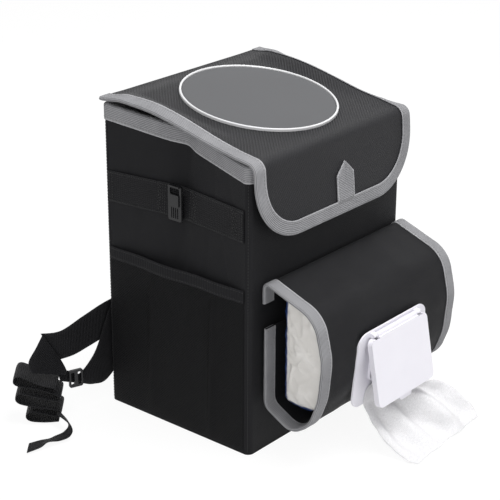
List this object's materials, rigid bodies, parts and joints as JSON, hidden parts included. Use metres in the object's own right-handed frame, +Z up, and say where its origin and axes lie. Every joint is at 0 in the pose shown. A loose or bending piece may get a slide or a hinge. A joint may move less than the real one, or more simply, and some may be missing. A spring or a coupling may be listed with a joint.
{
  "type": "car trash bin",
  "caption": "Soft-sided car trash bin with a flip lid bound in grey tape, side mesh pockets, a front pocket for wipes with a flip-top dispenser, and a webbing strap.",
  "frame": {"origin": "centre of the underside of the base, on the floor", "axes": "+X right along the front, +Y from the front to the back, +Z up"},
  "size_m": [0.3587, 0.3507, 0.3105],
  "materials": {
    "black_cloth": "woven polyester, matt",
    "grey_tape": "woven binding tape",
    "webbing": "ribbed webbing",
    "mesh": "knitted mesh",
    "board": "plain stiffening sheet",
    "liner_film": "coated film",
    "black_plastic": "moulded",
    "hook_tape": "hook and loop",
    "badge_grey": "satin soft plastic",
    "badge_edge": "pale moulded bead",
    "white_plastic": "satin",
    "pack_film": "crinkled film",
    "wipe_cloth": "soft non-woven"
  },
  "bodies": {
    "bin": {"base_panel": "black_cloth", "front_panel": "black_cloth", "back_panel": "black_cloth", "left_gusset": "black_cloth", "right_gusset": "black_cloth", "base_board": "board", "front_board": "board", "back_board": "board", "liner": "liner_film", "rim_binding": "grey_tape", "left_band": "webbing", "right_band": "webbing", "left_clip": "black_plastic", "right_clip": "black_plastic", "left_mesh_pocket": "mesh", "right_mesh_pocket": "mesh", "left_hem": "webbing", "right_hem": "webbing", "flap_catch": "hook_tape", "pocket_wrap": "black_cloth", "pocket_binding_left": "grey_tape", "pocket_binding_right": "grey_tape", "pocket_hook_strip": "hook_tape", "pocket_loop_strip": "hook_tape", "wipes_pack": "pack_film", "dispenser_base": "white_plastic", "wipe": "wipe_cloth", "strap_patch": "webbing", "upper_strap": "webbing", "lower_strap": "webbing", "strap_bundle": "webbing", "strap_slider": "black_plastic"},
    "lid": {"lid_cover": "black_cloth", "lid_board": "board", "lid_lining": "black_cloth", "lid_binding": "grey_tape", "pull_tab": "grey_tape", "badge_face": "badge_grey", "badge_rim": "badge_edge", "flap_hook": "hook_tape"},
    "dispenser_lid": {"dispenser_lid": "white_plastic"}
  },
  "joints": [
    {"name": "lid_hinge", "type": "hinge", "parent": "bin", "child": "lid", "pos_m": [0, 0.0891, 0.3058], "axis": [-1, 0, 0], "range_deg": [0, 230]},
    {"name": "dispenser_hinge", "type": "hinge", "parent": "bin", "child": "dispenser_lid", "pos_m": [0.0065, -0.16176, 0.11382], "axis": [-1, 0, 0], "range_deg": [-16, 95]}
  ]
}
